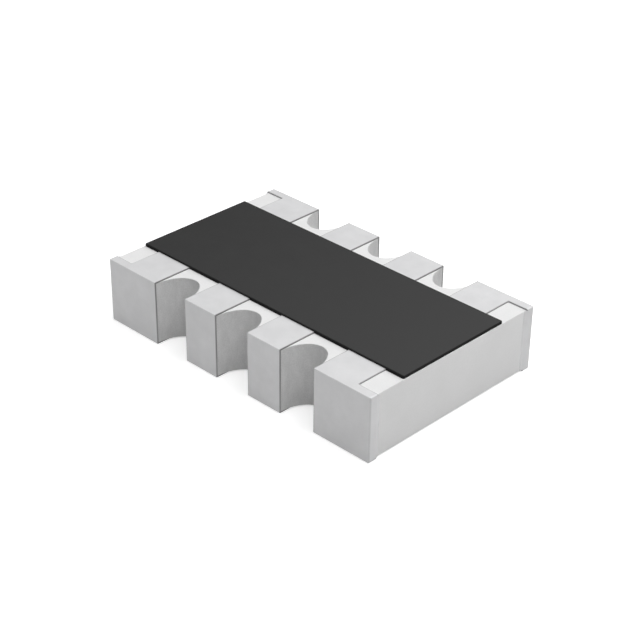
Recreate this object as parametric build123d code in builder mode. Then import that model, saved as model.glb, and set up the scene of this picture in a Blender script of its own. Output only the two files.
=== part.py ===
from build123d import *
import os

# A chip of four separate resistors on one ceramic block, with four terminals wrapped over each long side.
# X runs along the chip, Y across it and Z up. The origin is under the middle, level with the solder faces.
# All lengths are in millimetres.

# Row of terminals along each side. The two end ones are wider and fold a little way round the end of the block
channels = 4
terminal_pitch = 0.78
terminal_width = 0.39
end_terminal_width = 0.625

# Ceramic block
body_width = 2.024
body_thickness = 0.6

# Layers of a terminal, from the ceramic outwards
electrode_thickness = 0.005
nickel_thickness = 0.003
tin_thickness = 0.005

# How far a terminal reaches in over the block and under it
top_pad_length = 0.39
bottom_pad_length = 0.335

# Notch that leaves the block bare at its end, and the lip left beside it, which goes on round the end
notch_length = 0.195
notch_radius = 0.012
lip_width = 0.075

# Bare ceramic left between each scallop and the coat
scallop_coat_strip = 0.105

# Resistor films. Each laps over the ends of two facing electrodes and is a little narrower than they are
resistor_thickness = 0.008
resistor_lap = 0.07
resistor_side_margin = 0.03

# Glass over each resistor film
glass_thickness = 0.006
glass_side_margin = 0.02
glass_end_setback = 0.02

# Laser cut that trims a film: in from its side, then along it
trim_kerf = 0.03
trim_plunge = 0.16
trim_run = 0.18

# Black coat: what it adds over the glass, past the end of a film, and leaves bare at each end of the block
coat_over_glass = 0.013
coat_past_film = 0.125
coat_end_margin = 0.004
coat_edge_radius = 0.008

# Sizes that follow from these
overall_length = (channels - 1) * terminal_pitch - terminal_width + 2 * end_terminal_width
terminal_thickness = electrode_thickness + nickel_thickness + tin_thickness
plating_thickness = nickel_thickness + tin_thickness
body_length = overall_length - 2 * terminal_thickness
scallop_half_width = (terminal_pitch - terminal_width) / 2
scallop_depth = top_pad_length - scallop_coat_strip
coat_width = body_width - 2 * top_pad_length
coat_thickness = resistor_thickness + glass_thickness + coat_over_glass
resistor_length = coat_width - 2 * (coat_past_film + resistor_lap)
resistor_width = terminal_width - 2 * (plating_thickness + resistor_side_margin)

# Heights and faces that the pieces share
block_bottom = terminal_thickness
block_top = block_bottom + body_thickness
block_side = body_width / 2
block_end = body_length / 2
coat_side = coat_width / 2
bottom_pad_edge = block_side - bottom_pad_length
lip_edge = block_side - lip_width

channel_centres = [(i - (channels - 1) / 2) * terminal_pitch for i in range(channels)]
scallop_centres = [(i - (channels - 2) / 2) * terminal_pitch for i in range(channels - 1)]


def terminal_span(channel):
    """X of the two sides of a terminal. The first and the last one reach past the end of the block."""
    left = channel_centres[channel] - terminal_width / 2
    right = channel_centres[channel] + terminal_width / 2
    if channel == 0:
        left = -overall_length / 2
    if channel == channels - 1:
        right = overall_length / 2
    return left, right


def notch_sketch(inset):
    """The bare places in the middle of both ends of the block, seen from above, grown by the inset of a layer."""
    with BuildSketch() as notches:
        with Locations((-block_end, 0), (block_end, 0)):
            RectangleRounded(2 * (notch_length + inset), 2 * (lip_edge + inset), notch_radius + inset)
    return notches.sketch


def wrap_layers(channel, side, reach):
    """All layers of a terminal up to the one whose outside stands off the ceramic by reach.

    They run over the top from the coat's edge, down the side of the block and back underneath, and on an
    end terminal a band of them covers the end of the block beside its corner. A layer that lies deeper is
    also narrower, so that the one above it closes over its edges. Side is -1 or 1.
    """
    inset = terminal_thickness - reach
    left, right = terminal_span(channel)
    with BuildPart() as wrap:
        with BuildSketch(Plane.YZ.offset(left + inset)):
            with BuildLine():
                Polyline(
                    (side * coat_side, block_top),
                    (side * coat_side, block_top + reach),
                    (side * (block_side + reach), block_top + reach),
                    (side * (block_side + reach), block_bottom - reach),
                    (side * (bottom_pad_edge + inset), block_bottom - reach),
                    (side * (bottom_pad_edge + inset), block_bottom),
                    (side * block_side, block_bottom),
                    (side * block_side, block_top),
                    close=True,
                )
            make_face()
        extrude(amount=right - left - 2 * inset)
        if channel in (0, channels - 1):
            end = -1 if channel == 0 else 1
            with BuildSketch(Plane.XY.offset(block_bottom - reach)):
                with Locations((end * (block_end + reach / 2), side * (lip_edge + block_side + reach) / 2)):
                    Rectangle(reach, block_side + reach - lip_edge)
            extrude(amount=body_thickness + 2 * reach)
        add(notch_sketch(inset))
        extrude(amount=block_top + reach, mode=Mode.SUBTRACT)
    return wrap.part


def electrode_plate(channel, side, inner_edge, height):
    """One flat electrode on a face of the block, from inner_edge to the block's side."""
    left, right = terminal_span(channel)
    left = max(left + plating_thickness, -block_end)
    right = min(right - plating_thickness, block_end)
    with BuildPart() as plate:
        with BuildSketch(Plane.XY.offset(height)):
            with Locations(((left + right) / 2, side * (inner_edge + block_side) / 2)):
                Rectangle(right - left, block_side - inner_edge)
            add(notch_sketch(plating_thickness), mode=Mode.SUBTRACT)
        extrude(amount=electrode_thickness)
    return plate.part


def finish(piece, name):
    """Labels a finished piece and writes it under its name."""
    piece.label = name
    export_step(piece, f"parts/{name}.step")


os.makedirs("parts", exist_ok=True)

# Ceramic block with its scallops
with BuildPart() as substrate:
    with BuildSketch(Plane.XY.offset(block_bottom)):
        Rectangle(body_length, body_width)
        with Locations(*[(x, side * block_side) for x in scallop_centres for side in (-1, 1)]):
            Ellipse(scallop_half_width, scallop_depth, mode=Mode.SUBTRACT)
    extrude(amount=body_thickness)
finish(substrate.part, "ceramic_substrate")

# Terminals: 1 to 4 along the near side from the left, and on round the far side from the right
electrodes_under_coat = []
for side in (-1, 1):
    for channel in range(channels):
        number = channel + 1 if side < 0 else 2 * channels - channel

        top_electrode = electrode_plate(channel, side, resistor_length / 2, block_top)
        electrodes_under_coat.append(top_electrode)
        finish(top_electrode, f"top_electrode_{number}")

        bottom_edge = bottom_pad_edge + plating_thickness
        bottom_electrode = electrode_plate(channel, side, bottom_edge, block_bottom - electrode_thickness)
        finish(bottom_electrode, f"bottom_electrode_{number}")

        # The edge electrode is what the two flat ones leave of the lowest layer
        electrode_layer = wrap_layers(channel, side, electrode_thickness)
        with BuildPart() as edge_electrode:
            add(electrode_layer)
            add([top_electrode, bottom_electrode], mode=Mode.SUBTRACT)
        finish(edge_electrode.part, f"edge_electrode_{number}")

        nickel_layer = wrap_layers(channel, side, electrode_thickness + nickel_thickness)

        with BuildPart() as nickel_barrier:
            add(nickel_layer)
            add(electrode_layer, mode=Mode.SUBTRACT)
        finish(nickel_barrier.part, f"nickel_barrier_{number}")

        # The tin rounds every edge that is open to the air, but is square where it meets the coat
        with BuildPart() as tin_finish:
            add(wrap_layers(channel, side, terminal_thickness))
            edges = tin_finish.edges()
            top_rim = edges.group_by(Axis.Z)[-1].sort_by(lambda edge: abs(edge.center().Y))[1:]
            bottom_rim = edges.group_by(Axis.Z)[0]
            upright = edges.filter_by(Axis.Z).group_by(SortBy.LENGTH)[-1]
            fillet(top_rim + bottom_rim + upright, radius=tin_thickness)
            add(nickel_layer, mode=Mode.SUBTRACT)
            add(electrode_layer, mode=Mode.SUBTRACT)
        finish(tin_finish.part, f"tin_finish_{number}")

# Resistor films with their glass, each cut by the trimming laser
films = []
for channel, x in enumerate(channel_centres):
    film_side = x + resistor_width / 2
    electrode_end = resistor_length / 2
    on_electrode = block_top + electrode_thickness

    with BuildSketch(Plane.XY.offset(block_top)) as trim_cut:
        with Locations((film_side, -trim_run / 2)):
            Rectangle(2 * trim_plunge, trim_kerf)
        with Locations((film_side - trim_plunge, 0)):
            Rectangle(trim_kerf, trim_run + trim_kerf)

    with BuildPart() as resistor_film:
        with BuildSketch(Plane.YZ.offset(x - resistor_width / 2)):
            with BuildLine():
                Polyline(
                    (0, block_top),
                    (electrode_end, block_top),
                    (electrode_end, on_electrode),
                    (electrode_end + resistor_lap, on_electrode),
                    (electrode_end + resistor_lap, on_electrode + resistor_thickness),
                    (electrode_end - resistor_thickness, on_electrode + resistor_thickness),
                    (electrode_end - resistor_thickness, block_top + resistor_thickness),
                    (0, block_top + resistor_thickness),
                )
                mirror(about=Plane.YZ)
            make_face()
        extrude(amount=resistor_width)
        add(trim_cut.sketch)
        extrude(amount=resistor_thickness, mode=Mode.SUBTRACT)
    finish(resistor_film.part, f"resistor_film_{channel + 1}")

    with BuildPart() as glass_film:
        with BuildSketch(Plane.XY.offset(block_top)):
            with Locations((x, 0)):
                Rectangle(resistor_width + 2 * glass_side_margin, resistor_length - 2 * glass_end_setback)
            add(trim_cut.sketch, mode=Mode.SUBTRACT)
        extrude(amount=resistor_thickness + glass_thickness)
        add(resistor_film.part, mode=Mode.SUBTRACT)
    finish(glass_film.part, f"glass_film_{channel + 1}")
    films += [resistor_film.part, glass_film.part]

# Black coat, moulded over the films and the ends of the electrodes
with BuildPart() as overcoat:
    with BuildSketch(Plane.XY.offset(block_top)):
        Rectangle(body_length - 2 * coat_end_margin, coat_width)
    extrude(amount=coat_thickness)
    fillet(overcoat.edges().group_by(Axis.Z)[-1], radius=coat_edge_radius)
    add(electrodes_under_coat + films, mode=Mode.SUBTRACT)
finish(overcoat.part, "overcoat")
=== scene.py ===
import math

import bpy
import numpy as np
from mathutils import Matrix, Vector


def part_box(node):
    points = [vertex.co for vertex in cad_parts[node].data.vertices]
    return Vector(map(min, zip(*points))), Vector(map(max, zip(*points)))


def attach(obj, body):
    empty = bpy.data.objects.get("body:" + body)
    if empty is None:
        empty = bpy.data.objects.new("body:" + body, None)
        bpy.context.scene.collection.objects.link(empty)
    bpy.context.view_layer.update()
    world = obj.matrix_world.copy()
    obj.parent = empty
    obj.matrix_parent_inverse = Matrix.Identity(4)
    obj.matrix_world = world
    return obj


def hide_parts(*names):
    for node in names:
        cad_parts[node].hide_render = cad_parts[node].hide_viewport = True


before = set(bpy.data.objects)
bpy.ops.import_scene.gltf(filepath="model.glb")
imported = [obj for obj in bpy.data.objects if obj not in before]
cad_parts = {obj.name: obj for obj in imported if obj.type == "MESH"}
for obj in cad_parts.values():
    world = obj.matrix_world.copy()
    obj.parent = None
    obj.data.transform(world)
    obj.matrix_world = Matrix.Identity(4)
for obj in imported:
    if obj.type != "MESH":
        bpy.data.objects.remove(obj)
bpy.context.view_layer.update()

# Meshes are made in millimetres and scaled as they are written
MM = 0.001


def rounded(size):
    """A size, or a box, to a tenth of a micrometre."""
    return np.round(size, 4)


def box_of(node):
    """The low and the high corner of a solid's box in millimetres."""
    return rounded(np.array(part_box(node)) / MM)


# Ceramic block and black coat. Both are centred, so a box's high corner gives the half length and half width
BLOCK_END, BLOCK_SIDE, BLOCK_TOP = box_of("ceramic_substrate")[1]
BLOCK_BOTTOM = box_of("ceramic_substrate")[0, 2]
COAT_END, COAT_SIDE, COAT_TOP = box_of("overcoat")[1]

# Terminals and their layers. The ones numbered 2 and 3 are the plain ones, in the middle of the near side
tin_box = box_of("tin_finish_2")
top_pad_box = box_of("top_electrode_2")
PITCH = rounded(box_of("tin_finish_3")[0, 0] - tin_box[0, 0])
TERMINAL_WIDTH = rounded(tin_box[1, 0] - tin_box[0, 0])
TERMINAL_THICKNESS = rounded(BLOCK_BOTTOM - tin_box[0, 2])
TIN_THICKNESS = rounded(box_of("nickel_barrier_2")[0, 2] - tin_box[0, 2])
NICKEL_REACH = TERMINAL_THICKNESS - TIN_THICKNESS
ELECTRODE_THICKNESS = rounded(top_pad_box[1, 2] - BLOCK_TOP)
PLATING_THICKNESS = rounded(TERMINAL_THICKNESS - ELECTRODE_THICKNESS)

# Underneath, the nickel and the tin close over the inner edge of the electrode
PAD_EDGE_BELOW = rounded(-box_of("bottom_electrode_2")[1, 1] - PLATING_THICKNESS)

# Notch that leaves the block bare at its end, and the lip left beside it
NOTCH_LENGTH = 0.195
LIP_WIDTH = 0.075
NOTCH_START = rounded(BLOCK_END - NOTCH_LENGTH)
LIP_EDGE = rounded(BLOCK_SIDE - LIP_WIDTH)

# Scallops. Each is as wide as the gap between two terminals, and leaves a strip bare in front of the coat
SCALLOP_STRIP = 0.105
SCALLOP_HALF_WIDTH = rounded(PITCH - TERMINAL_WIDTH) / 2
SCALLOP_DEPTH = rounded(BLOCK_SIDE - COAT_SIDE - SCALLOP_STRIP)

# Resistor films, which lap over the two electrodes that they join, and the glass on them
film_box = box_of("resistor_film_2")
glass_box = box_of("glass_film_2")
FILM_HALF_WIDTH = rounded(film_box[1, 0] - film_box[0, 0]) / 2
FILM_HALF_LENGTH = -top_pad_box[1, 1]
FILM_LAP = rounded(film_box[1, 1] - FILM_HALF_LENGTH)
FILM_THICKNESS = rounded(film_box[1, 2] - top_pad_box[1, 2])
GLASS_HALF_WIDTH = rounded(glass_box[1, 0] - glass_box[0, 0]) / 2
GLASS_HALF_LENGTH = glass_box[1, 1]
GLASS_HEIGHT = rounded(glass_box[1, 2] - BLOCK_TOP)

# Middles of the resistors, and of the scallops between them
RESISTOR_COUNT = sum(name.startswith("resistor_film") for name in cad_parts)
CHANNELS = (np.arange(RESISTOR_COUNT) - (RESISTOR_COUNT - 1) / 2) * PITCH
SCALLOPS = (np.arange(RESISTOR_COUNT - 1) - (RESISTOR_COUNT - 2) / 2) * PITCH

# Forms finer than the solids have: how far the ends of an end terminal are rounded over, how far the inner
# corner of a notch is softened, and how wide the painted shade along the tin's border is
END_ROUNDING = 0.012
NOTCH_SOFTENING = 0.014
SHADE_RIM_WIDTH = 0.006

# How far the inside of the tin keeps off the ceramic at its borders, and the lattice that grid lines lie on
CLEARANCE = 0.0003
LATTICE = 0.0002

# A ray whose Z is past this leads straight up or down
STRAIGHT = 0.999


def colour(code):
    """An sRGB hex colour as the linear RGBA that a shader takes."""
    srgb = np.array([int(code[i:i + 2], 16) for i in (1, 3, 5)]) / 255
    linear = np.where(srgb <= 0.04045, srgb / 12.92, ((srgb + 0.055) / 1.055) ** 2.4)
    return (*linear.tolist(), 1.0)


def feed(tree, node, inputs):
    """Gives each input of a node, by name or number, its value or a link from another node's output."""
    for name, value in inputs.items():
        if isinstance(value, bpy.types.NodeSocket):
            tree.links.new(value, node.inputs[name])
        else:
            node.inputs[name].default_value = value


def add(tree, kind, inputs=None, stops=(), **settings):
    """Adds a node with its settings and links. Stops are the places and colours of a colour ramp."""
    made = tree.nodes.new(kind)
    for name, value in settings.items():
        setattr(made, name, value)
    feed(tree, made, inputs or {})
    for number, (place, code) in enumerate(stops):
        made.color_ramp.elements[number].position = place
        made.color_ramp.elements[number].color = colour(code)
    return made


def per_mm(size):
    """The scale of a pattern on coordinates in metres whose features are this many millimetres across."""
    return 1.0 / (size * MM)


def material(name):
    """A new material, its node tree and Principled shader, and the piece's own coordinates."""
    made = bpy.data.materials.new(name)
    made.use_nodes = True
    tree = made.node_tree
    shader = tree.nodes["Principled BSDF"]
    place = add(tree, "ShaderNodeTexCoord").outputs["Object"]
    return made, tree, shader, place


# Surfaces

def write_mesh(name, points, faces, materials, slots=None, shade_rim=None):
    """A mesh from points in millimetres and a list of face arrays, sharp where faces turn over 40 degrees.

    The rim is a number for each point that the materials read as painted shade: up to 1 at a border, and 0 a
    little way in.
    """
    mesh = bpy.data.meshes.new(name)
    flat = [row for block in faces for row in block.tolist()]
    mesh.from_pydata((points * MM).tolist(), [], flat)
    for one in materials:
        mesh.materials.append(one)
    if slots is not None:
        mesh.polygons.foreach_set("material_index", slots.astype(np.int32))
    mesh.polygons.foreach_set("use_smooth", np.ones(len(flat), bool))
    mesh.set_sharp_from_angle(angle=math.radians(40))
    if shade_rim is not None:
        mesh.attributes.new("shade_rim", "FLOAT", "POINT").data.foreach_set("value", shade_rim.astype(np.float32))
    mesh.update()
    piece = bpy.data.objects.new(name, mesh)
    bpy.context.scene.collection.objects.link(piece)
    return piece


def thick_sheet(outer, inner, cells, shade_rim):
    """A closed sheet between two surfaces on one grid, where cells says which squares of the grid it fills.

    Its faces are the squares of the outer surface, the same squares of the inner one turned round, and a wall
    of one square along each grid edge that only one filled square touches. It comes back as points, faces and
    the weight of painted shade at the rim for each point.
    """
    rows, columns = outer.shape[:2]
    index = np.arange(rows * columns).reshape(rows, columns)
    corners = [index[:-1, :-1], index[1:, :-1], index[1:, 1:], index[:-1, 1:]]
    quads = np.stack([corner[cells] for corner in corners], axis=1)
    starts = quads.ravel()
    ends = np.roll(quads, -1, axis=1).ravel()
    under = rows * columns
    alone = ~np.isin(starts * under + ends, ends * under + starts)
    wall = np.stack([ends[alone], starts[alone], starts[alone] + under, ends[alone] + under], axis=1)
    faces = np.concatenate([quads, quads[:, ::-1] + under, wall])
    points = np.concatenate([outer.reshape(-1, 3), inner.reshape(-1, 3)])
    used, faces = np.unique(faces, return_inverse=True)
    return points[used], faces.reshape(-1, 4), np.tile(shade_rim.ravel(), 2)[used]


def grid_lines(low, high, step, *closer):
    """Grid lines from low to high about a step apart, with closer ones where they are given.

    All are put on the lattice, so that no two lie almost in one place.
    """
    lines = np.linspace(low, high, 1 + max(1, round((high - low) / step)))
    lines = np.unique(np.round(np.concatenate([lines, *closer]) / LATTICE)) * LATTICE
    return lines[(lines > low - LATTICE / 2) & (lines < high + LATTICE / 2)]


def round_over(distance, radius):
    """Height lost this far in from a rounded edge: the radius less the height of its quarter circle."""
    across = np.clip(1 - distance / radius, 0, 1)
    return radius * (1 - np.sqrt(1 - across ** 2))


def edge_spread(radius, steps=6):
    """Distances in from a rounded edge that divide its quarter circle evenly, and one just past it."""
    turn = np.linspace(0, np.pi / 2, steps)
    return np.append(radius * (1 - np.cos(turn)), radius * 1.2)


def fade(distance, width):
    """1 up to half a width in from a border, and from there evenly down to 0 at one and a half widths."""
    return np.clip(1.5 - distance / width, 0, 1)


def corner_pull(along, across, width):
    """How far a point moves to soften a square corner: (w/4)(1 - a/w)^2 (1 - b/w)^2 within a width of it."""
    one, other = [np.clip(1 - np.abs(away) / width, 0, 1) ** 2 for away in (along, across)]
    return width / 4 * one * other


# Ceramic block

def block_outline(corner, arc_steps=40):
    """The block's outline from above as points and outward normals, anticlockwise.

    A tab's corner is a quarter circle. A scallop is half an ellipse bent into the block, (a cos t, b sin t)
    from its centre on the block's side, with the normal (cos t / a, sin t / b) towards that centre. The far
    side is the near side turned half round.
    """
    turn = np.linspace(-np.pi / 2, 0, 7)
    axes = np.array([SCALLOP_HALF_WIDTH, SCALLOP_DEPTH])
    mouth = np.arcsin(corner / SCALLOP_DEPTH)
    sweep = np.linspace(np.pi - mouth, mouth, arc_steps)[1:-1]
    way = np.stack([np.cos(sweep), np.sin(sweep)], axis=1)
    steep = way / axes
    steep /= np.linalg.norm(steep, axis=1)[:, None]
    points, normals = [], []

    def tab_corner(x, angles):
        quarter = np.stack([np.cos(angles), np.sin(angles)], axis=1)
        points.append(np.array([x, -BLOCK_SIDE + corner]) + corner * quarter)
        normals.append(quarter)

    tab_corner(-BLOCK_END + corner, turn - np.pi / 2)
    for x in SCALLOPS:
        tab_corner(x - SCALLOP_HALF_WIDTH - corner, turn)
        points.append(np.array([x, -BLOCK_SIDE]) + axes * way)
        normals.append(-steep)
        tab_corner(x + SCALLOP_HALF_WIDTH + corner, turn - np.pi / 2)
    tab_corner(BLOCK_END - corner, turn)
    half, half_normals = np.concatenate(points), np.concatenate(normals)
    return np.concatenate([half, -half]), np.concatenate([half_normals, -half_normals])


def ceramic_block(faces_material, wall_material):
    """The scalloped block: its outline carried up a profile that is rounded over at the top and bottom rims.

    A point is the outline's point, moved in along its normal by the profile's inset, at the profile's height.
    The flat top and bottom are one face each.
    """
    outline, normals = block_outline(corner=0.006)
    radius = 0.004
    on_flat = radius * 1.4
    turn = np.linspace(0, np.pi / 2, 5)
    rise = radius * (1 - np.cos(turn))
    inset = np.concatenate([[on_flat], radius * (1 - np.sin(turn)), radius * (1 - np.cos(turn)), [on_flat]])
    height = np.concatenate([[BLOCK_BOTTOM], BLOCK_BOTTOM + rise, BLOCK_TOP - rise[::-1], [BLOCK_TOP]])
    rings = outline[None] - inset[:, None, None] * normals[None]
    points = np.dstack([rings, np.broadcast_to(height[:, None], rings.shape[:2])])
    count, around = rings.shape[:2]
    index = np.arange(count * around).reshape(count, around)
    ahead = np.roll(index, -1, axis=1)
    wall = np.stack([index[:-1], ahead[:-1], ahead[1:], index[1:]], axis=2).reshape(-1, 4)
    caps = [index[0, ::-1][None], index[-1][None]]

    # The wall of a scallop lies off the block's side, and well away from its ends
    off_side, off_end = 0.0005, 0.1
    in_scallop = np.abs(outline[:, 1]) < BLOCK_SIDE - off_side
    in_scallop &= np.abs(outline[:, 0]) < BLOCK_END - off_end
    both = in_scallop & np.roll(in_scallop, -1)
    slots = np.concatenate([np.tile(both, count - 1).astype(int), [0, 0]])
    materials = [faces_material, wall_material]
    return write_mesh("ceramic_block", points.reshape(-1, 3), [wall, *caps], materials, slots=slots)


# Terminals

def wrap_lines(rounding):
    """A terminal's way round the block in Y and Z: base points on the ceramic, and rays that lead off them.

    A surface that stands off the ceramic by some reach is base + reach * ray. On the flat faces a ray is the
    face's normal. At a corner the base stays, and the rays fan out to a square with this share of it rounded.
    """
    step, step_down = 0.04, 0.05
    fine = np.append(edge_spread(TIN_THICKNESS), 1.5 * SHADE_RIM_WIDTH)
    about_corner = np.outer([-1, 1], [NOTCH_SOFTENING, 0.02, 0.03]).ravel()
    lip = LIP_EDGE + np.concatenate([-fine, fine, about_corner])
    top = grid_lines(COAT_SIDE, BLOCK_SIDE, step, lip)[:-1]
    side = grid_lines(BLOCK_BOTTOM, BLOCK_TOP, step_down)[-2:0:-1]
    below = grid_lines(PAD_EDGE_BELOW, BLOCK_SIDE, step, lip, PAD_EDGE_BELOW + fine)[-2::-1]

    # One more ray on each side of the rounding ends on the flat beside it
    beside = 0.3
    turn = np.linspace(np.pi / 2, 0, 7)
    quarter = (1 - rounding) + rounding * np.stack([np.cos(turn), np.sin(turn)], axis=1)
    fan = np.concatenate([[[0.0, 1.0], [beside, 1.0]], quarter, [[1.0, beside]]])
    base = np.concatenate([
        np.stack([top, np.full(len(top), BLOCK_TOP)], axis=1),
        np.tile([[BLOCK_SIDE, BLOCK_TOP]], (len(fan), 1)),
        np.stack([np.full(len(side), BLOCK_SIDE), side], axis=1),
        np.tile([[BLOCK_SIDE, BLOCK_BOTTOM]], (len(fan), 1)),
        np.stack([below, np.full(len(below), BLOCK_BOTTOM)], axis=1),
    ])
    ray = np.concatenate([
        np.tile([[0.0, 1.0]], (len(top), 1)),
        fan,
        np.tile([[1.0, 0.0]], (len(side), 1)),
        fan[::-1] * [1, -1],
        np.tile([[0.0, -1.0]], (len(below), 1)),
    ])
    return base, ray


def inside_reach(distance):
    """How far the tin's inside is off the ceramic: as far as the nickel, or at a border the clearance."""
    on_nickel = distance > TIN_THICKNESS - 1e-6
    return np.where(on_nickel, NICKEL_REACH, CLEARANCE)


def end_band():
    """The band of an end terminal on the end of the block, for the corner where X and Y are positive.

    Its two grid directions are Y and Z. The dipped paste ran thin towards its free edge and feathers out just
    past it, so its reach off the end falls evenly from the block's corner to just over the nickel's edge, and
    from there evenly to almost nothing. It stops short of the wrapped part by a tenth of a micrometre.
    """
    feather = 0.03
    step, step_up = 0.03, 0.1
    nickel_edge = LIP_EDGE + TIN_THICKNESS
    y = grid_lines(LIP_EDGE - feather, BLOCK_SIDE + LATTICE, step, [nickel_edge - LATTICE, nickel_edge])
    z = grid_lines(BLOCK_BOTTOM - LATTICE, BLOCK_TOP + LATTICE, step_up)
    grid_y, grid_z = np.meshgrid(y, z, indexing="ij")
    distance = grid_y - LIP_EDGE
    places = [-feather, TIN_THICKNESS, BLOCK_SIDE - LIP_EDGE]
    reach = np.interp(distance, places, [2 * CLEARANCE, NICKEL_REACH + CLEARANCE, TERMINAL_THICKNESS])
    outer = np.dstack([BLOCK_END + reach, grid_y, grid_z])
    inner = np.dstack([BLOCK_END + inside_reach(distance), grid_y, grid_z])
    return thick_sheet(outer, inner, np.ones((len(y) - 1, len(z) - 1), bool), np.zeros(grid_y.shape))


def terminal(number, finish):
    """The tin of one terminal, wrapped over the top, down the side and back underneath.

    Its two grid directions are X, and the way round the block. Its reach off the ceramic is the layer's
    height less what its rounded borders lose, by the distance from the nearest border: the two sides, the
    pad's edge underneath, and on an end terminal the notch that leaves the block bare. At the end of the
    block an end terminal is rounded over its whole thickness, and the notch's own corner is softened. Where
    the coat meets it, it is square. Inside, it lies on the nickel, and its borders come down to the ceramic.
    The rim of painted shade is where a border faces a scallop, a notch or the middle of the underside, a
    little fainter along the notch and down the side, and faintest on an end corner.
    """
    near = number <= RESISTOR_COUNT
    channel = number - 1 if near else 2 * RESISTOR_COUNT - number
    is_end = channel in (0, RESISTOR_COUNT - 1)
    outward = -1 if channel == 0 else 1
    side = -1 if near else 1
    left, right = [corner.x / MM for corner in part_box(f"tin_finish_{number}")]

    step = 0.051
    fine = np.append(edge_spread(TIN_THICKNESS), 1.5 * SHADE_RIM_WIDTH)
    closer = [left + fine, right - fine]
    if is_end:
        wide = edge_spread(END_ROUNDING, steps=7)
        about_corner = np.outer([-1, 1], [NOTCH_SOFTENING, 0.02]).ravel()
        closer.append(outward * (NOTCH_START + np.concatenate([-fine, fine, about_corner])))
        closer += [left + wide, right - wide]
    x = grid_lines(left, right, step, *closer)
    base, ray = wrap_lines(rounding=0.6)
    ray_inside = wrap_lines(rounding=0.04)[1]
    grid_x, grid_y = np.meshgrid(x, base[:, 0], indexing="ij")
    level = np.broadcast_to(np.abs(ray[:, 1]) > STRAIGHT, grid_x.shape)

    # Distances to the borders. One that isn't there is far away
    to_sides = [grid_x - left, right - grid_x]
    to_end = np.ones(grid_x.shape)
    if is_end:
        to_end = to_sides.pop(0 if outward < 0 else 1)
    to_pad_edge = np.where(ray[:, 1] < -STRAIGHT, base[:, 0] - PAD_EDGE_BELOW, 1.0)
    distance = np.minimum(np.min(to_sides, axis=0), to_pad_edge[None])

    # Painted shade along the borders: how strong it is down the side, along the notch and on an end corner
    shade_down_side, shade_at_notch, shade_on_corner = 0.75, 0.8, 0.2
    shade_rim = fade(distance, SHADE_RIM_WIDTH) * np.where(level, 1.0, shade_down_side)
    cells = np.ones((len(x) - 1, len(base) - 1), bool)
    if is_end:
        over = outward * grid_x - NOTCH_START
        beyond = grid_y - LIP_EDGE
        to_notch = np.hypot(np.maximum(-over, 0), np.maximum(beyond, 0))
        distance = np.where(level, np.minimum(distance, to_notch), distance)
        shade_rim = np.maximum(shade_rim, shade_at_notch * level * fade(to_notch, SHADE_RIM_WIDTH))
        shade_rim = np.maximum(shade_rim, shade_on_corner * ~level * fade(to_end, 1.5 * SHADE_RIM_WIDTH))
        middle_over = (over[1:, 1:] + over[:-1, :-1]) / 2
        middle_beyond = (beyond[1:, 1:] + beyond[:-1, :-1]) / 2
        cells = (middle_over < 0) | (middle_beyond > 0)
        pull = np.where(level, corner_pull(over, beyond, NOTCH_SOFTENING), 0)
        grid_x = grid_x + outward * pull
        grid_y = grid_y - pull

    distance = np.maximum(distance, 0)
    lost = np.maximum(round_over(distance, TIN_THICKNESS), round_over(to_end, END_ROUNDING))

    def surface(reach, rays):
        y = grid_y + reach * rays[None, :, 0]
        z = base[None, :, 1] + reach * rays[None, :, 1]
        return np.dstack([grid_x, side * y, z])

    outer = surface(TERMINAL_THICKNESS - lost, ray)
    inner = surface(inside_reach(np.minimum(distance, to_end)), ray_inside)
    points, faces, shade_rim = thick_sheet(outer, inner, cells, shade_rim)
    if is_end:
        band, band_faces, band_shade_rim = end_band()
        faces = np.concatenate([faces, band_faces[:, ::outward] + len(points)])
        points = np.concatenate([points, band * [outward, side, 1]])
        shade_rim = np.concatenate([shade_rim, band_shade_rim])
    if near:
        faces = faces[:, ::-1]
    return write_mesh(f"tin_terminal_{number}", points, [faces], [finish], shade_rim=shade_rim)


# Coat

def under_coat(x, y):
    """Height over the block of what the coat lies on: the steps of the electrodes, films and glass."""
    y = np.abs(y)
    height = np.zeros(np.broadcast(x, y).shape)
    for channel, centre in enumerate(CHANNELS):
        low = centre - TERMINAL_WIDTH / 2 + PLATING_THICKNESS
        high = centre + TERMINAL_WIDTH / 2 - PLATING_THICKNESS
        if channel == 0:
            low = PLATING_THICKNESS - NOTCH_START
        if channel == RESISTOR_COUNT - 1:
            high = NOTCH_START - PLATING_THICKNESS
        electrode = (x >= low) & (x <= high) & (y >= FILM_HALF_LENGTH)
        height = np.where(electrode, ELECTRODE_THICKNESS, height)
        film = (np.abs(x - centre) <= FILM_HALF_WIDTH) & (y <= FILM_HALF_LENGTH + FILM_LAP)
        raised = y >= FILM_HALF_LENGTH - FILM_THICKNESS
        height = np.where(film, FILM_THICKNESS + ELECTRODE_THICKNESS * raised, height)
        glass = (np.abs(x - centre) <= GLASS_HALF_WIDTH) & (y <= GLASS_HALF_LENGTH)
        height = np.where(glass, GLASS_HEIGHT, height)
    return height


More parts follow.
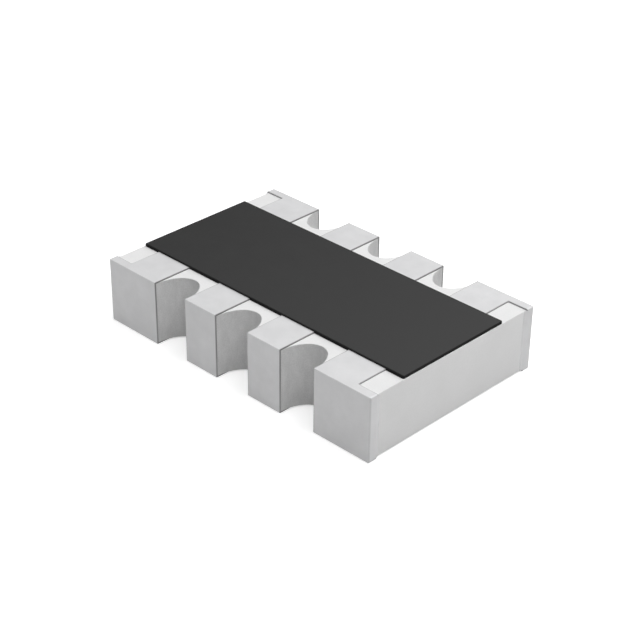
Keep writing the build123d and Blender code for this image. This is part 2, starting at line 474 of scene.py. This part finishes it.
def overcoat(finish):
    """The black coat: a rectangle with softly rounded corners and shoulders, on the steps of what it covers.

    The top is the full height less what the shoulder loses by its distance from the edge. The corners are
    softened in plan as a terminal's notch is. Two grid lines close together stand at each step underneath.
    The rim of painted shade is half as wide at the ends as along the sides.
    """
    shoulder = 0.008
    softening = 0.016
    shade_rim_width = 0.010
    step = 0.06
    spread = edge_spread(shoulder, steps=7)
    past_shoulder = spread[-1]
    fine = np.append(spread, [0.0025, 0.005, 0.015, 0.03])

    pad_half_width = TERMINAL_WIDTH / 2 - PLATING_THICKNESS
    notch_edge = NOTCH_START - PLATING_THICKNESS
    half_widths = (FILM_HALF_WIDTH, GLASS_HALF_WIDTH, pad_half_width)
    steps_x = np.concatenate([CHANNELS + side * half for side in (-1, 1) for half in half_widths])
    steps_x = np.append(steps_x, [-notch_edge, notch_edge])
    steps_y = np.array([GLASS_HALF_LENGTH, FILM_HALF_LENGTH - FILM_THICKNESS, FILM_HALF_LENGTH,
                        FILM_HALF_LENGTH + FILM_LAP])
    steps_y = np.append(-steps_y, steps_y)
    pair = np.array([-2, 2]) * LATTICE
    close_x, close_y = [np.add.outer(steps, pair).ravel() for steps in (steps_x, steps_y)]
    x = grid_lines(-COAT_END, COAT_END, step, close_x, fine - COAT_END, COAT_END - fine)
    y = grid_lines(-COAT_SIDE, COAT_SIDE, step, close_y, fine - COAT_SIDE, COAT_SIDE - fine)

    grid_x, grid_y = np.meshgrid(x, y, indexing="ij")
    in_x, in_y = COAT_END - np.abs(grid_x), COAT_SIDE - np.abs(grid_y)
    short_of = [np.clip(past_shoulder - inward, 0, None) for inward in (in_x, in_y)]
    distance = np.maximum(past_shoulder - np.hypot(*short_of), 0)
    top = COAT_TOP - round_over(distance, shoulder)
    pull = corner_pull(in_x, in_y, softening)
    plan_x, plan_y = grid_x - np.sign(grid_x) * pull, grid_y - np.sign(grid_y) * pull
    outer = np.dstack([plan_x, plan_y, top])
    inner = np.dstack([plan_x, plan_y, BLOCK_TOP + under_coat(grid_x, grid_y)])
    whole = np.ones((len(x) - 1, len(y) - 1), bool)
    points, faces, shade_rim = thick_sheet(outer, inner, whole, fade(np.minimum(2 * in_x, in_y), shade_rim_width))
    return write_mesh("overcoat_print", points, [faces], [finish], shade_rim=shade_rim)


# Materials

# Alumina, 96 %, tape cast and fired: an even white with a dry, slightly grainy skin
def fired_alumina():
    made, tree, shader, place = material("fired_alumina")
    # The grains are a few micrometres across, too fine to show, so they are drawn at 14
    grain = add(tree, "ShaderNodeTexNoise",
                {"Vector": place, "Scale": per_mm(0.014), "Detail": 3.0, "Roughness": 0.6})
    cloud = add(tree, "ShaderNodeTexNoise", {"Vector": place, "Scale": per_mm(0.35), "Detail": 2.0})
    both = add(tree, "ShaderNodeMath", {0: grain.outputs["Fac"], 1: cloud.outputs["Fac"]},
               operation="MULTIPLY")
    tone = add(tree, "ShaderNodeValToRGB", {"Fac": both.outputs[0]},
               stops=[(0.15, "#EAEAEA"), (0.40, "#EEEEEE")])
    bump = add(tree, "ShaderNodeBump",
               {"Strength": 0.35, "Distance": 0.0012 * MM, "Height": grain.outputs["Fac"]})
    feed(tree, shader, {"Base Color": tone.outputs["Color"], "Roughness": 0.55, "IOR": 1.76,
                        "Specular IOR Level": 0.03, "Normal": bump.outputs["Normal"]})
    return made


# The scallops are punched before firing, so their walls are rougher than the faces. Their darker grey is
# painted shade for the hollow of each scallop
def punched_alumina_shaded():
    made, tree, shader, place = material("punched_alumina_shaded")
    # Torn grains of some 5 micrometres, drawn at 12, over patches of 60 that are drawn out upwards
    grain = add(tree, "ShaderNodeTexNoise",
                {"Vector": place, "Scale": per_mm(0.012), "Detail": 4.0, "Roughness": 0.75})
    drawn = add(tree, "ShaderNodeMapping", {"Vector": place, "Scale": (1.0, 1.0, 0.45)})
    patch = add(tree, "ShaderNodeTexNoise",
                {"Vector": drawn.outputs[0], "Scale": per_mm(0.06), "Detail": 2.0})
    both = add(tree, "ShaderNodeMix", {0: 0.35, 2: grain.outputs["Fac"], 3: patch.outputs["Fac"]})
    tone = add(tree, "ShaderNodeValToRGB", {"Fac": both.outputs[0]},
               stops=[(0.38, "#CDCDCD"), (0.62, "#DDDDDD")])
    bump = add(tree, "ShaderNodeBump",
               {"Strength": 0.5, "Distance": 0.002 * MM, "Height": grain.outputs["Fac"]})
    feed(tree, shader, {"Base Color": tone.outputs["Color"], "Roughness": 0.7, "IOR": 1.76,
                        "Specular IOR Level": 0.2, "Normal": bump.outputs["Normal"]})
    return made


# Matte tin, plated: soft pale grey metal, whose crystals scatter the light, with a faint cloudy bloom
def matte_tin():
    made, tree, shader, place = material("matte_tin")
    # The crystals are 3 micrometres across, drawn at 16
    crystals = add(tree, "ShaderNodeTexVoronoi", {"Vector": place, "Scale": per_mm(0.016)})
    cloud = add(tree, "ShaderNodeTexNoise",
                {"Vector": place, "Scale": per_mm(0.16), "Detail": 4.0, "Roughness": 0.6})
    tone = add(tree, "ShaderNodeValToRGB", {"Fac": cloud.outputs["Fac"]},
               stops=[(0.35, "#C4C4C5"), (0.68, "#CACACB")])
    # Painted shade: the tin is darkened along its borders, as dark lines where its edges meet the ceramic
    shade_rim = add(tree, "ShaderNodeAttribute", attribute_name="shade_rim")
    edge_shaded = add(tree, "ShaderNodeMix",
                {0: shade_rim.outputs["Fac"], 6: tone.outputs["Color"], 7: colour("#7B7B7B")}, data_type="RGBA")
    rough = add(tree, "ShaderNodeMapRange", {"Value": cloud.outputs["Fac"], "To Min": 0.43, "To Max": 0.47})
    bump = add(tree, "ShaderNodeBump",
               {"Strength": 0.25, "Distance": 0.0012 * MM, "Height": crystals.outputs["Distance"]})
    feed(tree, shader, {"Base Color": edge_shaded.outputs[2], "Metallic": 0.48, "Roughness": rough.outputs[0],
                        "Normal": bump.outputs["Normal"]})
    return made


# Filled epoxy, screen printed and cured: a dark satin grey-black with fine specks of filler
def printed_epoxy():
    made, tree, shader, place = material("printed_epoxy")
    specks = add(tree, "ShaderNodeTexNoise",
                 {"Vector": place, "Scale": per_mm(0.018), "Detail": 3.0, "Roughness": 0.65})
    cloud = add(tree, "ShaderNodeTexNoise", {"Vector": place, "Scale": per_mm(0.2), "Detail": 3.0})
    both = add(tree, "ShaderNodeMath", {0: specks.outputs["Fac"], 1: cloud.outputs["Fac"]},
               operation="MULTIPLY")
    tone = add(tree, "ShaderNodeValToRGB", {"Fac": both.outputs[0]},
               stops=[(0.12, "#343434"), (0.42, "#373737")])
    # Painted light: the coat is made a little lighter towards positive X, as if more light fell on that end
    along = add(tree, "ShaderNodeSeparateXYZ", {0: place})
    lighter_towards_x = add(tree, "ShaderNodeMapRange",
                {"Value": along.outputs["X"], "From Min": -COAT_END * MM, "From Max": COAT_END * MM})
    painted_sheen = add(tree, "ShaderNodeMix",
                {0: lighter_towards_x.outputs[0], 6: tone.outputs["Color"], 7: colour("#424242")}, data_type="RGBA")
    # Painted shade: the coat's border, its shoulders and its sides are darkened towards black
    shade_rim = add(tree, "ShaderNodeAttribute", attribute_name="shade_rim")
    edge_shaded = add(tree, "ShaderNodeMix",
                {0: shade_rim.outputs["Fac"], 6: painted_sheen.outputs[2], 7: colour("#252525")}, data_type="RGBA")
    bump = add(tree, "ShaderNodeBump",
               {"Strength": 0.3, "Distance": 0.0012 * MM, "Height": specks.outputs["Fac"]})
    feed(tree, shader, {"Base Color": edge_shaded.outputs[2], "Roughness": 0.45, "Specular IOR Level": 0.02,
                        "Normal": bump.outputs["Normal"]})
    return made


# A finish that the coat or the tin covers: a fine even grain between two close tones
def covered(name, dark, light, size, metallic, roughness):
    made, tree, shader, place = material(name)
    grain = add(tree, "ShaderNodeTexNoise", {"Vector": place, "Scale": per_mm(size), "Detail": 3.0})
    tone = add(tree, "ShaderNodeValToRGB", {"Fac": grain.outputs["Fac"]}, stops=[(0.35, dark), (0.65, light)])
    bump = add(tree, "ShaderNodeBump",
               {"Strength": 0.3, "Distance": 0.001 * MM, "Height": grain.outputs["Fac"]})
    feed(tree, shader, {"Base Color": tone.outputs["Color"], "Metallic": metallic, "Roughness": roughness,
                        "Normal": bump.outputs["Normal"]})
    return made


alumina = fired_alumina()
punched_shaded = punched_alumina_shaded()
tin = matte_tin()
epoxy = printed_epoxy()

# Resistor paste, printed and fired: matte grey-black. Printed glass, fired: green-grey and glossy. Silver
# paste, printed and fired: off-white, a little rough. Nickel, plated: a warm grey, smoother than the silver
resistor = covered("fired_resistor_paste", "#1E1F21", "#2C2D2F", size=0.012, metallic=0.0, roughness=0.7)
glass = covered("fired_glass", "#4E6A57", "#5E7C68", size=0.03, metallic=0.0, roughness=0.2)
silver = covered("fired_silver", "#D6D4CC", "#E4E2DB", size=0.01, metallic=1.0, roughness=0.45)
nickel = covered("plated_nickel", "#A9A59C", "#B9B5AC", size=0.01, metallic=1.0, roughness=0.35)
finishes = {
    "ceramic_substrate": alumina,
    "overcoat": epoxy,
    "resistor_film": resistor,
    "glass_film": glass,
    "top_electrode": silver,
    "bottom_electrode": silver,
    "edge_electrode": silver,
    "nickel_barrier": nickel,
    "tin_finish": tin,
}
for name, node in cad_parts.items():
    family = name.rstrip("_0123456789")
    node.data.materials.clear()
    node.data.materials.append(finishes[family])


# Pieces that stand for solids

block = ceramic_block(alumina, punched_shaded)
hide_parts("ceramic_substrate")
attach(block, "root")

for number in range(1, 2 * RESISTOR_COUNT + 1):
    piece = terminal(number, tin)
    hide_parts(f"tin_finish_{number}")
    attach(piece, "root")

piece = overcoat(epoxy)
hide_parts("overcoat")
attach(piece, "root")


# Stage, light and camera

def shown_rays(tree):
    """The light path, and 1 on a ray from the camera, off gloss or through glass, or else 0."""
    path = add(tree, "ShaderNodeLightPath")
    shown = path.outputs["Is Camera Ray"]
    for kind in ("Is Glossy Ray", "Is Transmission Ray"):
        shown = add(tree, "ShaderNodeMath", {0: shown, 1: path.outputs[kind]}, operation="MAXIMUM").outputs[0]
    return path, shown


def floor():
    """A plain pale floor that shows white to the camera and keeps the part's shadow.

    The lamps' light on it fades with the distance, so what lifts it for the camera grows to match.
    """
    mesh = bpy.data.meshes.new("floor")
    mesh.from_pydata([(-1, -1, 0), (1, -1, 0), (1, 1, 0), (-1, 1, 0)], [], [(0, 1, 2, 3)])
    plane = bpy.data.objects.new("floor", mesh)
    bpy.context.scene.collection.objects.link(plane)
    made, tree, shader, place = material("studio_floor")
    path, shown = shown_rays(tree)
    even = add(tree, "ShaderNodeMath", {0: shown, 1: 0.4}, operation="MULTIPLY")
    away = add(tree, "ShaderNodeVectorMath", {0: place}, operation="LENGTH")
    more = add(tree, "ShaderNodeMapRange", {"Value": away.outputs["Value"], "From Min": 10 * MM,
                                            "From Max": 50 * MM, "To Min": 0.1, "To Max": 0.7})
    lift = add(tree, "ShaderNodeMath",
               {0: path.outputs["Is Camera Ray"], 1: more.outputs[0], 2: even.outputs[0]},
               operation="MULTIPLY_ADD")
    feed(tree, shader, {"Base Color": colour("#E7E7E7"), "Roughness": 1.0, "Specular IOR Level": 0.0,
                        "Emission Color": (1, 1, 1, 1), "Emission Strength": lift.outputs[0]})
    mesh.materials.append(made)


def white_room():
    """An even white dome that only the camera, gloss and glass see, so it lights nothing that is matte."""
    world = bpy.data.worlds.new("white_room")
    bpy.context.scene.world = world
    world.use_nodes = True
    tree = world.node_tree
    shown = shown_rays(tree)[1]
    feed(tree, tree.nodes["Background"], {"Color": (1, 1, 1, 1), "Strength": shown})


def soft_box(name, place, size, radiance):
    """A square lamp that looks at the part from a place in millimetres, with this radiance over its face."""
    lamp = bpy.data.lights.new(name, "AREA")
    lamp.size = size * MM
    lamp.energy = radiance * math.pi * lamp.size ** 2
    box = bpy.data.objects.new(name, lamp)
    bpy.context.scene.collection.objects.link(box)
    box.location = Vector(place) * MM
    box.rotation_euler = (-box.location).to_track_quat("-Z", "Y").to_euler()


def camera(place, yaw, pitch, roll, lens):
    """The camera, at a place in millimetres, turned round Z, tilted down and rolled by angles in degrees."""
    data = bpy.data.cameras.new("camera")
    data.sensor_width = 36.0
    data.lens = lens
    data.clip_start = 0.2 * MM
    data.clip_end = 3.0
    eye = bpy.data.objects.new("camera", data)
    bpy.context.scene.collection.objects.link(eye)
    turn = Matrix.Rotation(math.radians(yaw), 4, "Z") @ Matrix.Rotation(math.radians(90 - pitch), 4, "X")
    turn = turn @ Matrix.Rotation(math.radians(roll), 4, "Z")
    eye.matrix_world = Matrix.Translation(Vector(place) * MM) @ turn
    bpy.context.scene.camera = eye


floor()
white_room()
soft_box("overhead", (0, 0, 45), size=66, radiance=1.45)
soft_box("back", (-6, 45, 27), size=26, radiance=2.34)
soft_box("back_right", (26, 39, 29), size=26, radiance=1.49)
soft_box("front_right", (34, -34, 20), size=26, radiance=0.90)
soft_box("right_above", (8, 2, 16), size=10, radiance=2.65)
camera((8.7744, -8.9893, 7.6525), yaw=44.16, pitch=30.55, roll=0.67, lens=92.42)
bpy.context.scene.view_settings.view_transform = "Standard"
